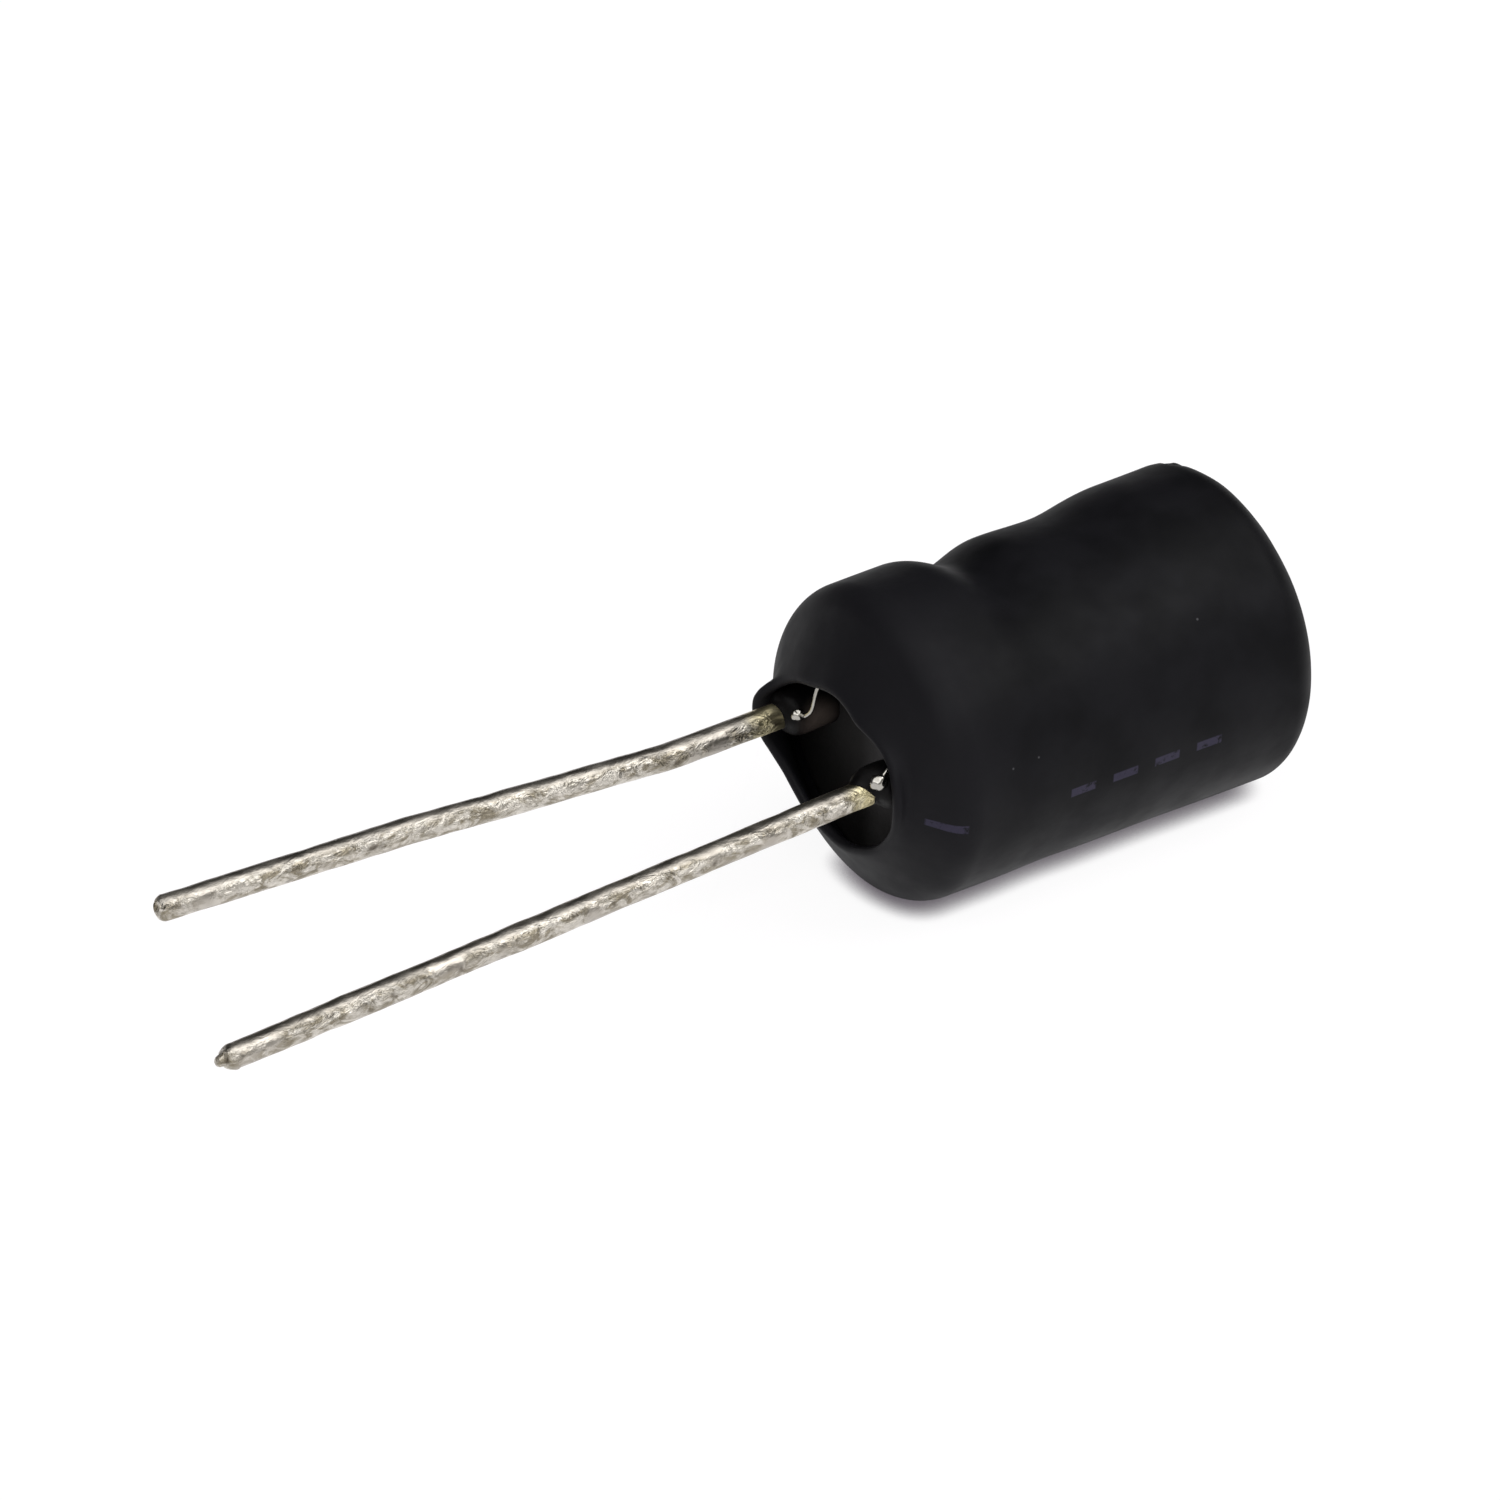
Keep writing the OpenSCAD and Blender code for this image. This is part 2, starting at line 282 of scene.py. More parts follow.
def sleeve_material():
    n = Nodes("sleeve_black")
    x, y, z = n.axes()
    cloud = n.remap(n.noise(3.5, detail=3.0, rough=0.6), 0.36, 0.66)
    color = n.mix(cloud, SLEEVE_DARK, SLEEVE_LIGHT)
    # Painted light on the shoulder round the mouth
    lip_from, lip_to = (BASE_X + fade * MM for fade in LIP_PAINTED_LIGHT_FADE)
    color = n.mix(n.remap(x, lip_from, lip_to, 0.0, LIP_PAINTED_LIGHT_SHARE), color, SLEEVE_LIP_PAINTED_LIGHT)
    # A worn, interrupted line of ink where the tube is marked
    turn = n.math("ARCTAN2", n.math("SUBTRACT", AXIS_Y, y), n.math("SUBTRACT", z, AXIS_Z))
    off = n.math("ABSOLUTE", n.math("SUBTRACT", turn, deg(INK_TURN)))
    line = n.remap(off, INK_HALF, INK_HALF * 0.7)
    from_start = n.math("SUBTRACT", x, BASE_X + INK_START * MM)
    step = n.math("FRACT", n.math("DIVIDE", from_start, INK_STEP * MM))
    dash = n.times(n.remap(step, *DASH_FROM), n.remap(step, *DASH_TO))
    inside = 0.0
    for first, last in INK_RUNS:
        after = n.math("GREATER_THAN", x, BASE_X + first * MM)
        before = n.math("LESS_THAN", x, BASE_X + last * MM)
        inside = n.math("MULTIPLY_ADD", after, before, inside)
    worn = n.remap(n.noise(0.25, detail=3.0, rough=0.7), 0.3, 0.5)
    color = n.mix(n.times(line, dash, inside, worn, INK_SHARE), color, INK_COLOR)
    # Sparse dust
    near, cell = n.cells(DUST_CELL)
    pick = n.new("SeparateColor")
    n.link(cell, pick.inputs[0])
    speck = n.remap(near, 0.06, 0.03)
    rare = n.math("GREATER_THAN", pick.outputs[0], DUST_RARE)
    color = n.mix(n.times(speck, rare, DUST_SHARE), color, DUST_COLOR)
    rough = n.remap(n.noise(1.6, detail=3.0, rough=0.6), 0.3, 0.7, 0.52, 0.62)
    soft = n.bump(n.noise(1.1), strength=0.25, distance_mm=0.05)
    fine = n.bump(n.noise(0.12, rough=0.6), strength=0.18, distance_mm=0.012, normal=soft)
    return n.finish(color, rough, normal=fine, specular=0.12)


TIN_BRIGHT = (0.5, 0.47, 0.425)
TIN_DULL = (0.42, 0.385, 0.335)
MOTTLE_PALE = (0.76, 0.72, 0.65)
MOTTLE_DARK = (0.28, 0.245, 0.18)
MOTTLE_SHARE = 0.9
PIT_COLOR = (0.11, 0.09, 0.065)
FLUX_AND_PAINTED_LIGHT_COLOR = (0.8, 0.71, 0.41)
FLUX_AND_PAINTED_LIGHT_SHARE = 0.75
# Yellowish flux near the body, partly painted light: made brighter where the lip shades the lead, from
# one x to another
FLUX_AND_PAINTED_LIGHT_FADE = (-3.2, -2.3)
# Heights over the middle of the lead between which the coat turns lumpy
COAT_EDGE = (0.39, 0.24)
# Grain is drawn out along the wire
GRAIN_STRETCH = 0.55
TONE_STRETCH = 0.35


def lead_material():
    n = Nodes("tinned_wire")
    x, _, z = n.axes()
    # The coat ran down as it cooled: smooth along the top, lumpy and stained on the lower side
    edge_top, edge_low = (AXIS_Z + (FRONT_AT[1] + edge) * MM for edge in COAT_EDGE)
    low_side = n.remap(z, edge_top, edge_low)
    lumpy = n.times(low_side, n.remap(n.noise(1.7), 0.32, 0.52))
    grain_way = n.stretched(GRAIN_STRETCH)
    tone = n.noise(1.2, detail=3.0, rough=0.6, vector=n.stretched(TONE_STRETCH))
    color = n.mix(tone, TIN_BRIGHT, TIN_DULL)
    blotch = n.noise(0.42, detail=4.0, rough=0.7, vector=grain_way, distortion=0.9)
    mottle = n.mix(n.remap(blotch, 0.4, 0.6), MOTTLE_PALE, MOTTLE_DARK)
    color = n.mix(n.times(lumpy, MOTTLE_SHARE), color, mottle)
    pits, _ = n.cells(0.45, grain_way)
    pit = n.times(n.remap(pits, 0.32, 0.1), n.remap(n.noise(0.8), 0.46, 0.56))
    pit = n.times(pit, n.math("MULTIPLY_ADD", low_side, 0.65, 0.1))
    color = n.mix(pit, color, PIT_COLOR)
    # Flux near the body, brightened as painted light against the lip's shade
    flux_from, flux_to = (BASE_X + fade * MM for fade in FLUX_AND_PAINTED_LIGHT_FADE)
    color = n.mix(n.times(n.remap(x, flux_from, flux_to), FLUX_AND_PAINTED_LIGHT_SHARE), color, FLUX_AND_PAINTED_LIGHT_COLOR)
    rough = n.noise(0.5, detail=3.0, rough=0.6, vector=grain_way)
    rough = n.remap(rough, 0.35, 0.7, 0.28, 0.46)
    # Centred on zero, so that the edge of the lumpy side leaves no step
    flake = n.noise(0.34, detail=4.0, rough=0.65, vector=grain_way, distortion=0.9)
    flake = n.math("SUBTRACT", flake, 0.5)
    flake = n.times(flake, n.math("MULTIPLY_ADD", lumpy, 0.88, 0.12))
    wave = n.bump(flake, strength=0.95, distance_mm=0.17)
    fine = n.noise(0.14, detail=3.0, rough=0.65)
    grain = n.bump(fine, strength=0.4, distance_mm=0.014, normal=wave)
    return n.finish(color, rough, 1.0, grain)


SOLDER_BRIGHT = (0.5, 0.485, 0.45)
SOLDER_DULL = (0.33, 0.315, 0.28)


def solder_material():
    n = Nodes("solder_bright")
    color = n.mix(n.noise(0.2), SOLDER_BRIGHT, SOLDER_DULL)
    rough_skin = n.bump(n.noise(0.2), strength=0.3, distance_mm=0.03)
    return n.finish(color, 0.2, 1.0, rough_skin)


GLUE_DARK = (0.0022, 0.002, 0.0024)
GLUE_LIGHT = (0.005, 0.0044, 0.0044)
# Painted brownish highlight on the adhesive beside the back joint: middle, and the radii it fades
# between
PAINTED_HIGHLIGHT_AT = (-0.7, -1.95, 0.15)
PAINTED_HIGHLIGHT_FADE = (0.85, 0.15)
PAINTED_HIGHLIGHT_COLOR = (0.13, 0.105, 0.09)
PAINTED_HIGHLIGHT_SHARE = 0.8


def adhesive_material():
    n = Nodes("adhesive_black")
    color = n.mix(n.noise(0.6, detail=3.0), GLUE_DARK, GLUE_LIGHT)
    # Painted brownish highlight round a point beside the back joint
    spot = n.new("VectorMath")
    spot.operation = "DISTANCE"
    n.link(n.object, spot.inputs[0])
    spot.inputs[1].default_value = place(*PAINTED_HIGHLIGHT_AT)
    painted_highlight = n.remap(spot.outputs["Value"], *(radius * MM for radius in PAINTED_HIGHLIGHT_FADE))
    color = n.mix(n.times(painted_highlight, PAINTED_HIGHLIGHT_SHARE), color, PAINTED_HIGHLIGHT_COLOR)
    rough = n.remap(n.noise(0.4), 0.3, 0.7, 0.42, 0.58)
    skin = n.bump(n.noise(0.3, detail=3.0), strength=0.4, distance_mm=0.05)
    return n.finish(color, rough, 0.0, skin, specular=0.1)


FERRITE_PAINTED_SHADE = ((0.0075, 0.0071, 0.0071), (0.014, 0.0132, 0.013))
FERRITE_PAINTED_LIGHT = ((0.04, 0.0385, 0.0395), (0.06, 0.058, 0.0595))
# Painted shade and light: the base face is painted darker towards the back (y from the axis) and paler
# towards the front; the head gets an even share of the painted light, from one x to another
FERRITE_PAINTED_FADE = (1.0, -0.2)
HEAD_FADE = (7.0, 5.0)
HEAD_PAINTED_LIGHT = 0.3


def ferrite_material():
    n = Nodes("ferrite_grey")
    x, y, _ = n.axes()
    # Painted shade and painted light copies of the ferrite's colour
    dark, pale = (
        n.mix(n.noise(0.5, detail=4.0, rough=0.7), *pair) for pair in (FERRITE_PAINTED_SHADE, FERRITE_PAINTED_LIGHT)
    )
    base = n.remap(x, *(BASE_X + fade * MM for fade in HEAD_FADE))
    forward = n.remap(y, *(AXIS_Y + shade * MM for shade in FERRITE_PAINTED_FADE))
    head = n.times(n.math("SUBTRACT", 1.0, base), HEAD_PAINTED_LIGHT)
    color = n.mix(n.math("MULTIPLY_ADD", forward, base, head), dark, pale)
    grain = n.bump(n.noise(0.12, detail=3.0, rough=0.7), strength=0.4, distance_mm=0.02)
    return n.finish(color, 0.72, 0.0, grain, specular=0.25)


ENAMEL_LIGHT = (0.5, 0.19, 0.07)
ENAMEL_DARK = (0.4, 0.13, 0.045)


def copper_material():
    n = Nodes("enamelled_copper")
    mat = n.finish(n.mix(n.noise(1.2), ENAMEL_LIGHT, ENAMEL_DARK), 0.28, 0.85)
    n.bsdf.inputs["Coat Weight"].default_value = 0.6
    n.bsdf.inputs["Coat Roughness"].default_value = 0.1
    return mat


WHITE = (1, 1, 1)
FLOOR_PAPER = (0.6, 0.59, 0.61)
FLOOR_SEEN = (0.14, 0.13, 0.14)
FLOOR_SHADE = (0.135, 0.12, 0.14)
FLOOR_SHADE_REACH = 0.75
FLOOR_SHADE_RANGE = (0.12, 0.88)
FLOOR_SHADE_SAMPLES = 12
FLOOR_GLOW = 0.92


def floor_material():
    """White to the eye and in reflections, shaded close to the object; pale paper to other light."""
    n = Nodes("floor_white")
    path = n.new("LightPath").outputs
    seen = n.math("ADD", path["Is Camera Ray"], path["Is Glossy Ray"])
    seen = n.math("MINIMUM", n.math("ADD", seen, path["Is Transmission Ray"]), 1.0)
    close = n.new("AmbientOcclusion")
    close.samples = FLOOR_SHADE_SAMPLES
    close.inputs["Distance"].default_value = FLOOR_SHADE_REACH * MM
    open_sky = n.remap(close.outputs["AO"], *FLOOR_SHADE_RANGE)
    emit = n.new("Emission")
    n.link(n.mix(open_sky, FLOOR_SHADE, WHITE), emit.inputs["Color"])
    n.link(n.times(seen, FLOOR_GLOW), emit.inputs["Strength"])
    add = n.new("AddShader")
    mat = n.finish(n.mix(seen, FLOOR_PAPER, FLOOR_SEEN), 0.9, specular=0.0)
    n.link(n.bsdf.outputs[0], add.inputs[0])
    n.link(emit.outputs[0], add.inputs[1])
    n.link(add.outputs[0], n.out.inputs[0])
    return mat


black = sleeve_material()
tin = lead_material()
bright = solder_material()
glue = adhesive_material()
ferrite = ferrite_material()
copper = copper_material()

# Sleeve: outline of the shrunk tube, uneven as it shrank, its lip drawn out along the leads

WALL = 0.32
FIT = 0.02
EDGE = 0.35
FLANGE_L = 2.5
SHOULDER_R = CORE_R + FIT + WALL
BEND_R = 0.82 + WALL
BEND_C = SHOULDER_R - BEND_R
MOUTH_TURN = deg(58)
CROWN_TURN = deg(65)
MOUTH_RIM_R = 2.95
CROWN_RIM_R = 3.45
# The winding under it: its ends, and its radius at the groove, the bulge and the waist
WIND_X0 = 2.54
WIND_X1 = 9.46
WIND_L = WIND_X1 - WIND_X0
GROOVE_X = WIND_X0 + 0.19 * WIND_L
BULGE_X = WIND_X0 + 0.42 * WIND_L
WAIST_X = WIND_X0 + 0.7 * WIND_L
GROOVE_R = 4.02
BULGE_R = 4.32
WAIST_R = 4.23

RUN_STATIONS = [
    (EDGE, SHOULDER_R),
    (FLANGE_L - EDGE, SHOULDER_R),
    (GROOVE_X, GROOVE_R + FIT + WALL),
    (BULGE_X, BULGE_R + FIT + WALL),
    (WAIST_X, WAIST_R + FIT + WALL),
    (CORE_L - FLANGE_L + EDGE, SHOULDER_R),
    (CORE_L - EDGE, SHOULDER_R),
]
# Rows of the mesh along the lip, a bend, the run and the crown, and columns round the axis
LIP_ROWS = 14
BEND_ROWS = 16
RUN_ROWS = 130
CROWN_ROWS = 8
SLEEVE_COLS = 240
# Rows that the inner wall keeps at the mouth and at the crown; between them it has one in four
INNER_MOUTH_ROWS = 32
INNER_CROWN_ROWS = 28
INNER_STRIDE = 4
# How much of the lip's own form is left where the bend begins
BEND_SHARE = 0.25


def sleeve_outline():
    """Outer outline from the mouth's rim to the crown's rim: (x, r, share of the mouth's lip)."""
    pts = []
    bend_x = EDGE - BEND_R * math.sin(MOUTH_TURN)
    bend_r = BEND_C + BEND_R * math.cos(MOUTH_TURN)
    rim_x = bend_x - (bend_r - MOUTH_RIM_R) / math.tan(MOUTH_TURN)
    for k in range(LIP_ROWS):
        t = k / LIP_ROWS
        x = rim_x + (bend_x - rim_x) * t
        pts.append((x, MOUTH_RIM_R + (bend_r - MOUTH_RIM_R) * t, 1 - (1 - BEND_SHARE) * t))
    for k in range(BEND_ROWS):
        t = 1 - k / BEND_ROWS
        a = MOUTH_TURN * t
        pts.append((EDGE - BEND_R * math.sin(a), BEND_C + BEND_R * math.cos(a), BEND_SHARE * t))
    for k in range(RUN_ROWS + 1):
        x = EDGE + (CORE_L - 2 * EDGE) * k / RUN_ROWS
        pts.append((x, along(RUN_STATIONS, x), 0.0))
    for k in range(1, BEND_ROWS + 1):
        a = CROWN_TURN * k / BEND_ROWS
        pts.append((CORE_L - EDGE + BEND_R * math.sin(a), BEND_C + BEND_R * math.cos(a), 0.0))
    crown_x, crown_r, _ = pts[-1]
    for k in range(1, CROWN_ROWS + 1):
        r = crown_r + (CROWN_RIM_R - crown_r) * k / CROWN_ROWS
        pts.append((crown_x + (crown_r - r) / math.tan(CROWN_TURN), r, 0.0))
    return pts


def lead_turn(at):
    return math.atan2(at[0], at[1])


# The lip along each lead: turn, reach from the axis, pull forward, lower side, spread above
LOBES = (
    (lead_turn(FRONT_AT), math.hypot(*FRONT_AT) + 1.05, 0.12, 1, deg(26)),
    (lead_turn(BACK_AT), math.hypot(*BACK_AT) + 0.95, 0.33, -1, deg(21)),
)
# Spread below, and how fast a lobe fades along the lip
LOBE_LOW = deg(34)
LOBE_FADE = 1.3
# Where the lip is drawn in furthest, how far round, and how far in and out along the axis
RIM_TOP = deg(4)
RIM_SPREAD = deg(45)
RIM_REACH = 1.6
RIM_IN = 0.45
RIM_OUT = 0.28
LIP_WAVE = 0.05
# The tube is looser over the turns, between two x: heights of its waves and ripples
LOOSE_X0 = 2.6
LOOSE_X1 = 9.9
LOOSE_FADE = 1.2
TAUT_WAVE = 0.012
LOOSE_WAVE = 0.02
LOOSE_RIPPLE = 0.006
# Turn where the groove and waist are deepest, and the extra crease there
DEEP_TURN = deg(35)
CREASE_SHIFT = 0.35
CREASE_HALF = 0.5
CREASE_DEPTH = 0.08
# Underneath, the tube bridges the waist between two x
BRIDGE_X0 = 1.7
BRIDGE_X1 = 10.4
BRIDGE_FADE = 0.8
BRIDGE_FROM = 0.9
BRIDGE_SHARE = 0.92
# The far rim is pulled in and wavy
FAR_X = 11.0
FAR_FADE = 1.5
FAR_PULL = 0.18
FAR_WAVE = 0.04
# A ragged burr on the far shoulder
BURR_X = 12.1
BURR_LONG = 0.35
BURR_AT = deg(-30)
BURR_WIDE = 0.22
BURR_RISE = 0.03
BURR_ROUGH = 0.1
# Sense of the cross product of the mesh's two directions that points out of the wall
OUTWARD = -1
RIM_ROUND = [deg(a) for a in (30, 60, 90, 120, 150)]


def sleeve_point(x, r, lip, turn):
    """One point of the outer surface, in millimetres: (x, front, up)."""
    probe = (x, r * math.sin(turn), r * math.cos(turn))
    loose = smooth((x - LOOSE_X0) / LOOSE_FADE) * smooth((LOOSE_X1 - x) / LOOSE_FADE)
    r += (TAUT_WAVE + LOOSE_WAVE * loose) * lump(probe, size=3.2, seed=3.1)
    r += LOOSE_RIPPLE * loose * lump(probe, size=1.3, seed=7.7)
    # Drawn in deepest on the upper back, and hardly at all underneath
    deep = math.cos(turn + DEEP_TURN)
    crease = math.exp(-(((x - GROOVE_X + CREASE_SHIFT) / CREASE_HALF) ** 2))
    r -= crease * CREASE_DEPTH * max(deep, 0.0)
    bridge = smooth((x - BRIDGE_X0) / BRIDGE_FADE) * smooth((BRIDGE_X1 - x) / BRIDGE_FADE)
    r += (SHOULDER_R - r) * BRIDGE_SHARE * smooth(BRIDGE_FROM - deep) * bridge
    if lip > 0:
        rolled = smooth((lip - BEND_SHARE) / (1 - BEND_SHARE))
        aside = abs(math.remainder(turn - RIM_TOP, FULL_TURN)) / RIM_SPREAD
        drawn = rolled * smooth(RIM_REACH - aside)
        r -= RIM_IN * drawn
        x -= RIM_OUT * drawn
        x += LIP_WAVE * lip * lump(probe, size=1.6, seed=11.0)
        r += LIP_WAVE * lip * lump(probe, size=1.4, seed=5.0)
        for at, reach, forward, side, above in LOBES:
            d = (turn - at + math.pi) % FULL_TURN - math.pi
            width = LOBE_LOW if d * side > 0 else above
            w = math.exp(-((d / width) ** 2)) * lip**LOBE_FADE
            r += w * max(reach - r, 0.0)
            x -= w * forward
    far = smooth((x - FAR_X) / FAR_FADE)
    if far > 0:
        x -= far * FAR_PULL
        x += FAR_WAVE * far * lump(probe, size=1.2, seed=21.0)
        off_x = (x - BURR_X) / BURR_LONG
        off_turn = math.remainder(turn - BURR_AT, FULL_TURN) / BURR_WIDE
        burr = math.exp(-(off_x**2) - off_turn**2)
        r += burr * (BURR_RISE + BURR_ROUGH * lump(probe, size=0.32, seed=31.0))
    return x, r * math.sin(turn), r * math.cos(turn)


def rounded_rim(edge, before, normals, angles):
    """Rings that round the wall over from its outer to its inner side."""
    half = WALL / 2
    rings = []
    for a in angles:
        ring = []
        for p, q, n in zip(edge, before, normals):
            outwards = (p - q).normalized()
            ring.append(p - n * half * (1 - math.cos(a)) + outwards * half * math.sin(a))
        rings.append(ring)
    return rings


def build_sleeve():
    cols = SLEEVE_COLS
    outline = sleeve_outline()
    rows = len(outline)
    outer = [
        [Vector(sleeve_point(x, r, lip, turn)) for turn in ring_angles(cols)]
        for x, r, lip in outline
    ]

    def normal(i, j):
        du = outer[min(i + 1, rows - 1)][j] - outer[max(i - 1, 0)][j]
        dv = outer[i][(j + 1) % cols] - outer[i][j - 1]
        return OUTWARD * dv.cross(du).normalized()

    normals = [[normal(i, j) for j in range(cols)] for i in range(rows)]
    rings = [list(ring) for ring in outer]
    # Rounded far rim, inner wall back to the mouth, rounded mouth rim
    rings.extend(rounded_rim(outer[-1], outer[-3], normals[-1], RIM_ROUND))
    for i in range(rows - 1, -1, -1):
        at_an_end = i < INNER_MOUTH_ROWS or i > rows - INNER_CROWN_ROWS
        if at_an_end or i % INNER_STRIDE == 0:
            rings.append([outer[i][j] - normals[i][j] * WALL for j in range(cols)])
    rings.extend(rounded_rim(outer[0], outer[2], normals[0], RIM_ROUND[::-1]))
    verts = [place(*p) for ring in rings for p in ring]
    faces = grid_faces(len(rings), cols, closed_rows=True)
    mesh_object("sleeve_shrunk", verts, faces, "sleeve", [black])


build_sleeve()

# Leads: tinned wire swept along the bent path, with an uneven coat

LEAD_R = 0.4
LEAD_SEAT = 1.8
LEAD_BEND_R = 6.0
LEAD_STEP = 0.08
LEAD_COLS = 48
# The coat begins this far from the core, and its lumps are drawn out along the wire
COAT_START = 2.6
COAT_STRETCH = 0.45
# Roughness of the cut end, as a share of its radius
TIP_ROUGH = 0.08


def lead_path(at, side, legs):
    """Centre line from inside the core outwards: (point, heading). Legs are lengths and turns."""
    pos = [LEAD_SEAT, at[0]]
    heading = 0.0
    path = [(tuple(pos), heading)]
    for kind, amount in legs:
        length = amount if kind == "run" else LEAD_BEND_R * abs(amount)
        count = max(2, round(length / LEAD_STEP))
        turn = 0.0 if kind == "run" else amount / count
        d = length / count
        for _ in range(count):
            heading += turn
            pos[0] -= d * math.cos(heading - turn / 2)
            pos[1] += side * d * math.sin(heading - turn / 2)
            path.append((tuple(pos), heading))
    return path


def build_lead(name, node, at, side, legs, tip):
    path = lead_path(at, side, legs)
    verts = []
    done = 0.0
    before = path[0][0]
    for point, heading in path:
        done += math.dist(before, point)
        before = point
        centre = Vector((*point, at[1]))
        across = Vector((math.sin(heading), side * math.cos(heading), 0))
        coat = smooth(done - LEAD_SEAT - COAT_START)
        for a in ring_angles(LEAD_COLS):
            d = UP * math.cos(a) + across * math.sin(a)
            p = centre + d * LEAD_R
            q = (p[0] * COAT_STRETCH, p[1], p[2])
            uneven = 0.012 * lump(q, size=0.55, seed=2.0)
            uneven += 0.013 * lump(q, size=0.28, seed=9.0)
            uneven += 0.014 * lump(p, size=2.4, seed=4.0)
            verts.append(place(*(centre + d * (LEAD_R + coat * uneven))))
    # The cut end goes on from the last ring
    onward = Vector((-math.cos(heading), side * math.sin(heading), 0))
    for ahead, r, lift, sway in tip:
        middle = centre + onward * ahead + UP * lift + across * sway
        for a in ring_angles(LEAD_COLS):
            d = UP * math.cos(a) + across * math.sin(a)
            rough = 1 + TIP_ROUGH * lump(middle + d * r, size=0.24, seed=6.0)
            verts.append(place(*(middle + d * (r * rough))))
    rows = len(path) + len(tip)
    faces = grid_faces(rows, LEAD_COLS) + end_caps(rows, LEAD_COLS)
    mesh_object(name, verts, faces, node, [tin])


# Rounded, pinched-off end with a nib: (ahead, radius, lift, sway)
FRONT_TIP = [
    (0.06, 0.398, 0.0, 0.0),
    (0.14, 0.387, 0.0, 0.0),
    (0.22, 0.365, 0.0, 0.0),
    (0.3, 0.325, 0.0, 0.0),
    (0.36, 0.275, 0.0, -0.01),
    (0.39, 0.225, -0.005, -0.03),
    (0.42, 0.19, -0.015, -0.05),
    (0.49, 0.18, -0.03, -0.06),
    (0.55, 0.16, -0.04, -0.06),
    (0.6, 0.12, -0.04, -0.06),
    (0.62, 0.07, -0.04, -0.06),
    (0.63, 0.02, -0.04, -0.06),
]
# Blunt rounded end with a small crater at one side
BACK_TIP = [
    (0.05, 0.398, 0.0, 0.0),
    (0.11, 0.386, -0.005, 0.0),
    (0.17, 0.362, -0.01, 0.0),
    (0.22, 0.322, -0.015, -0.005),
    (0.255, 0.275, -0.015, -0.005),
    (0.275, 0.225, -0.01, 0.01),
    (0.28, 0.175, 0.01, 0.06),
    (0.245, 0.14, 0.03, 0.11),
    (0.19, 0.11, 0.03, 0.13),
    (0.15, 0.06, 0.03, 0.13),
]
FRONT_LEGS = [("run", LEAD_SEAT + 2.6), ("turn", deg(3)), ("run", 22.6)]
BACK_LEGS = [
    ("run", LEAD_SEAT + 5.3),
    ("turn", deg(7)),
    ("run", 8.0),
    ("turn", deg(-2.5)),
    ("run", 8.12),
]
build_lead("lead_front_wire", "lead_front", FRONT_AT, 1, FRONT_LEGS, FRONT_TIP)
build_lead("lead_back_wire", "lead_back", BACK_AT, -1, BACK_LEGS, BACK_TIP)

# Adhesive: a soft mound round the foot of each lead, drawn up the wire

# Outline of a mound: (share of its height, radius)
MOUND = (
    (0.0, 0.74),
    (0.35, 0.75),
    (0.7, 0.75),
    (0.8, 0.735),
    (0.88, 0.69),
    (0.94, 0.61),
    (0.98, 0.52),
    (1.0, 0.46),
    (1.03, 0.425),
    (1.06, 0.405),
)
MOUND_TOP = MOUND[-1][0]
MOUND_ROWS = 44
MOUND_COLS = 56
# Unevenness of its side and of its top, and the turn towards which the top slants
MOUND_SIDE_WAVE = 0.05
MOUND_TOP_WAVE = 0.12
MOUND_SLANT_TURN = deg(30)


def mound_radius(t):
    """Radius of a mound's outline at a share of its height."""
    for (t0, r0), (t1, r1) in zip(MOUND, MOUND[1:]):
        if t <= t1 + 1e-9:
            return r0 + (r1 - r0) * (t - t0) / (t1 - t0)
    return MOUND[-1][1]


def build_mound(name, node, at, height, slant):
    heights = [k / (MOUND_ROWS - 1) * MOUND_TOP for k in range(MOUND_ROWS)]
    # The outside, then the bore for the wire
    rings = [(t, mound_radius(t)) for t in heights] + [(1.0, LEAD_R), (0.0, LEAD_R)]
    verts = []
    for k, (t, r) in enumerate(rings):
        for a in ring_angles(MOUND_COLS):
            p = Vector((-t * height, at[0] + r * math.sin(a), at[1] + r * math.cos(a)))
            if k < MOUND_ROWS:
                side_wave = MOUND_SIDE_WAVE * lump(p, size=0.7, seed=8.0)
                push = 1 + smooth((1.02 - t) / 0.2) * side_wave
                top_wave = MOUND_TOP_WAVE * smooth((t - 0.5) / 0.4)
                top = top_wave * lump((0, p[1], p[2]), size=0.8, seed=3.0)
                top += slant * t * math.cos(a + MOUND_SLANT_TURN)
                out = r * push
                p = Vector((p[0] - top, at[0] + out * math.sin(a), at[1] + out * math.cos(a)))
            verts.append(place(*p))
    faces = grid_faces(len(rings), MOUND_COLS, closed_rows=True)
    mesh_object(name, verts, faces, node, [glue])


build_mound("adhesive_front_mound", "adhesive_front", FRONT_AT, 2.1, 0.3)
build_mound("adhesive_back_mound", "adhesive_back", BACK_AT, 1.65, 0.08)

# Winding: rows of wire in the core's waist, and the two tails brought out to the joints

WIRE_R = 0.13
TURNS = 26
POST_R = 2.34
WIND_COLS = 96
# Points of one turn's outline, in degrees from its top
TURN_POINTS = (-80, -45, 0, 45, 80)
TAIL_R = 3.85
TAIL_WIRE_R = 0.06
TAIL_STEPS = 10
TAIL_COLS = 20


def round_at(centre, reach, turn):
    return (centre[0] + reach * math.sin(deg(turn)), centre[1] + reach * math.cos(deg(turn)))


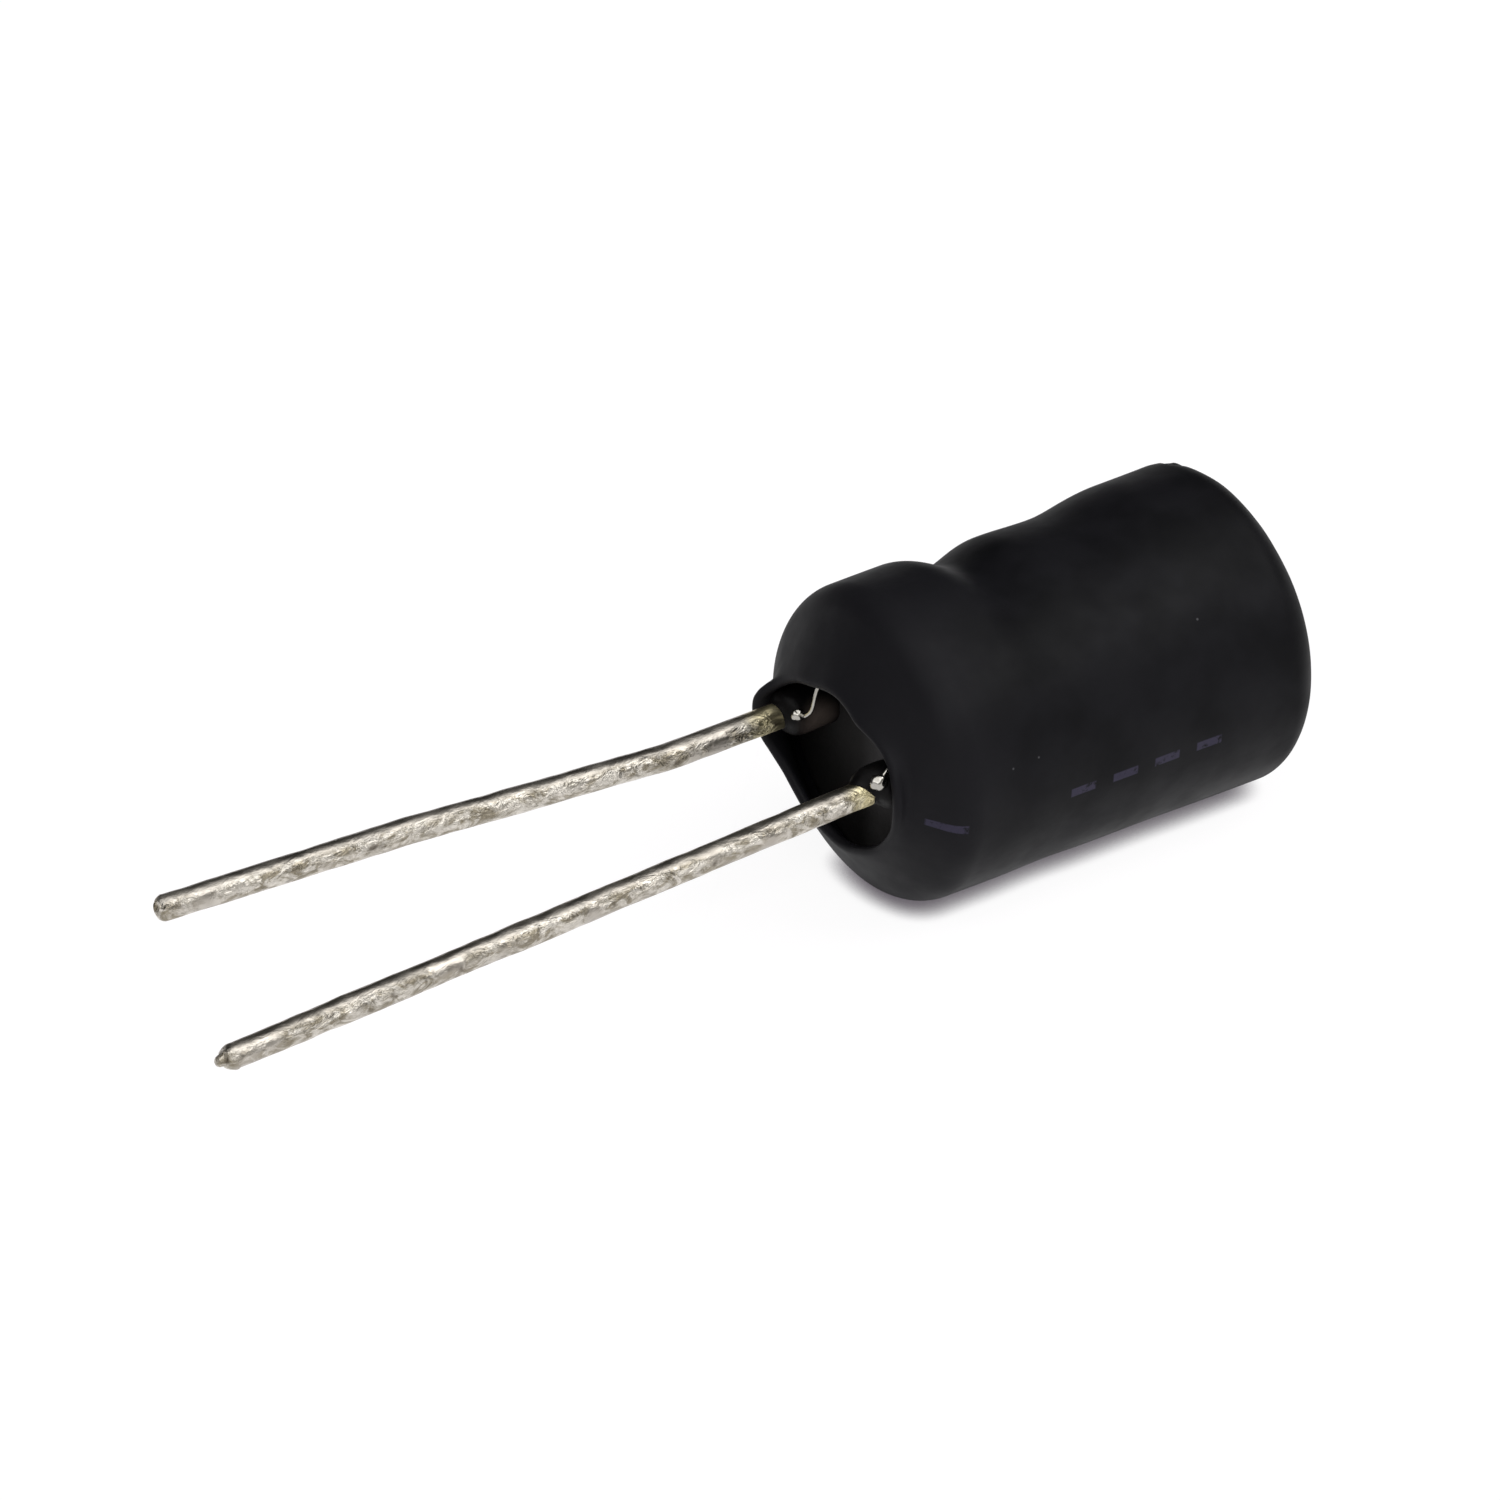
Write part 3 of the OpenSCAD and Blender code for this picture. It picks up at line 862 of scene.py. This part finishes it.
FRONT_JOINT = round_at(FRONT_AT, 0.62, 38)
BACK_JOINT = round_at(BACK_AT, 0.62, 69)
BACK_HOOK = round_at(BACK_AT, 1.0, 69)
FRONT_SLOT = round_at((0, 0), TAIL_R, 34)
BACK_SLOT = round_at((0, 0), TAIL_R, -12)
FRONT_TAIL = [
    (2.9, *FRONT_SLOT),
    (0.4, *FRONT_SLOT),
    (-0.25, *FRONT_SLOT),
    (-0.75, 2.5, 1.5),
    (-1.15, 2.6, 1.12),
    (-1.6, 2.68, 1.0),
    (-1.95, *FRONT_JOINT),
]
BACK_TAIL = [
    (2.9, *BACK_SLOT),
    (0.4, *BACK_SLOT),
    (-0.25, *BACK_SLOT),
    (-1.05, -0.86, 2.45),
    (-1.45, -0.98, 1.92),
    (-1.5, -1.2, 1.12),
    (-1.5, -1.5, 0.75),
    (-1.42, *BACK_HOOK),
    (-1.3, *BACK_JOINT),
]


def smooth_path(points, steps):
    """Points on a smooth curve through the given points."""
    pts = [Vector(p) for p in points]
    pts = [2 * pts[0] - pts[1], *pts, 2 * pts[-1] - pts[-2]]
    out = []
    for i in range(1, len(pts) - 2):
        a, b, c, d = pts[i - 1 : i + 3]
        for k in range(steps):
            t = k / steps
            square = (2 * a - 5 * b + 4 * c - d) * t * t
            cube = (3 * b - a - 3 * c + d) * t**3
            out.append(0.5 * (2 * b + (c - a) * t + square + cube))
    out.append(pts[-2])
    return out


def sweep(points, radius, cols, verts, faces):
    """Adds a closed round tube along the points."""
    start = len(verts)
    side = Vector((0, 1, 0))
    for i, p in enumerate(points):
        t = (points[min(i + 1, len(points) - 1)] - points[max(i - 1, 0)]).normalized()
        side = (side - t * side.dot(t)).normalized()
        other = t.cross(side)
        for a in ring_angles(cols):
            verts.append(place(*(p + (side * math.cos(a) + other * math.sin(a)) * radius)))
    faces.extend(grid_faces(len(points), cols, start))
    faces.extend(end_caps(len(points), cols, start))


def build_winding():
    stations = [
        (WIND_X0, GROOVE_R),
        (GROOVE_X, GROOVE_R),
        (BULGE_X, BULGE_R),
        (WAIST_X, WAIST_R),
        (CORE_L - FLANGE_L + EDGE, CORE_R),
    ]
    pitch = WIND_L / TURNS
    outline = [(WIND_X0, POST_R)]
    for i in range(TURNS):
        x = WIND_X0 + (i + 0.5) * pitch
        r = along(stations, x) - WIRE_R
        outline.extend(round_at((x, r), WIRE_R, a) for a in TURN_POINTS)
    outline.append((WIND_X1, POST_R))
    verts = [
        place(x, r * math.sin(a), r * math.cos(a))
        for x, r in outline
        for a in ring_angles(WIND_COLS)
    ]
    faces = grid_faces(len(outline), WIND_COLS, closed_rows=True)
    # The turns are copper, the tails are tinned
    mats = [0] * len(faces)
    for tail in (FRONT_TAIL, BACK_TAIL):
        sweep(smooth_path(tail, TAIL_STEPS), TAIL_WIRE_R, TAIL_COLS, verts, faces)
    mats += [1] * (len(faces) - len(mats))
    mesh_object("winding_turns", verts, faces, "winding", [copper, bright], mats)


build_winding()

# Solder: one bead on each joint

BEAD_ROWS = 22
BEAD_COLS = 32
BEAD_LUMPS = 0.3
BEAD_STRETCH = 1.15


def build_bead(name, node, x, at, size):
    """A lumpy drop drawn out along the wire."""
    verts = []
    for i in range(BEAD_ROWS):
        b = math.pi * (i + 0.5) / BEAD_ROWS
        for a in ring_angles(BEAD_COLS):
            d = Vector((math.cos(b), math.sin(b) * math.sin(a), math.sin(b) * math.cos(a)))
            r = size * (1 + BEAD_LUMPS * lump(d, size=0.7, seed=2.5))
            verts.append(place(x + BEAD_STRETCH * r * d[0], at[0] + r * d[1], at[1] + r * d[2]))
    faces = grid_faces(BEAD_ROWS, BEAD_COLS) + end_caps(BEAD_ROWS, BEAD_COLS)
    mesh_object(name, verts, faces, node, [bright])


build_bead("solder_front_bead", "solder_front", -1.95, FRONT_JOINT, 0.25)
build_bead("solder_back_bead", "solder_back", -1.36, BACK_JOINT, 0.2)

# The core keeps its own form
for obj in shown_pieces():
    if obj.name.startswith("drum_core"):
        obj.data.materials.clear()
        obj.data.materials.append(ferrite)

# Camera at the photograph's angle, far off with a long lens

AZIMUTH = deg(-35.8)
ELEVATION = deg(31.2)
FRAME_WIDTH = 43.6
DISTANCE = 2000
SENSOR_WIDTH = 36
AIM_RIGHT = -3.724
AIM_UP = -0.18

level = math.cos(ELEVATION)
back = Vector((math.sin(AZIMUTH) * level, -math.cos(AZIMUTH) * level, math.sin(ELEVATION)))
right = Vector((math.cos(AZIMUTH), math.sin(AZIMUTH), 0))
camera_up = back.cross(right)
aim = place(0, 0, 0) + (right * AIM_RIGHT + camera_up * AIM_UP) * MM
lens = bpy.data.cameras.new("camera")
lens.sensor_width = SENSOR_WIDTH
lens.lens = SENSOR_WIDTH * DISTANCE / FRAME_WIDTH
lens.clip_start = 0.01
lens.clip_end = 10
camera = bpy.data.objects.new("camera", lens)
camera.location = aim + back * DISTANCE * MM
camera.rotation_euler = (-back).to_track_quat("-Z", "Y").to_euler()
scene.collection.objects.link(camera)
scene.camera = camera

# Floor, soft light and room, in metres and watts

FLOOR_HALF = 1.5
FLOOR_CORNERS = ((-1, -1), (1, -1), (1, 1), (-1, 1))
floor_mesh = bpy.data.meshes.new("floor")
floor_corners = [(x * FLOOR_HALF, y * FLOOR_HALF, 0) for x, y in FLOOR_CORNERS]
floor_mesh.from_pydata(floor_corners, [], [(0, 1, 2, 3)])
floor_mesh.materials.append(floor_material())
floor = bpy.data.objects.new("floor", floor_mesh)
scene.collection.objects.link(floor)


def area_light(name, where, target, size, power):
    data = bpy.data.lights.new(name, "AREA")
    data.shape = "RECTANGLE"
    data.size, data.size_y = size
    data.energy = power
    light = bpy.data.objects.new(name, data)
    light.location = where
    light.rotation_euler = (Vector(target) - Vector(where)).to_track_quat("-Z", "Y").to_euler()
    scene.collection.objects.link(light)


area_light("softbox_top", (0.25, -0.29, 0.6), (0.25, -0.29, 0), (1.5, 0.76), 5.2)
area_light("softbox_left", (-0.36, -0.27, 0.34), (0, 0, 0.005), (0.45, 0.45), 0.55)
area_light("softbox_key", (0.26, -0.24, 0.38), (0.005, 0, 0.005), (0.25, 0.25), 0.4)

ROOM_COLOR = (1, 0.98, 0.95, 1)
# Dim towards the back of the room, lighter at the front
ROOM_FADE = {"From Min": 0.6, "From Max": -0.6, "To Min": 0.03, "To Max": 0.3}

world = bpy.data.worlds.new("room")
scene.world = world
world.use_nodes = True
room = world.node_tree
room.nodes.clear()
room_out = room.nodes.new("ShaderNodeOutputWorld")
room_light = room.nodes.new("ShaderNodeBackground")
room_light.inputs["Color"].default_value = ROOM_COLOR
room_coord = room.nodes.new("ShaderNodeTexCoord")
room_axes = room.nodes.new("ShaderNodeSeparateXYZ")
room_range = room.nodes.new("ShaderNodeMapRange")
for limit, value in ROOM_FADE.items():
    room_range.inputs[limit].default_value = value
room.links.new(room_coord.outputs["Generated"], room_axes.inputs[0])
room.links.new(room_axes.outputs["Y"], room_range.inputs["Value"])
room.links.new(room_range.outputs[0], room_light.inputs["Strength"])
room.links.new(room_light.outputs[0], room_out.inputs[0])

scene.view_settings.view_transform = "Standard"
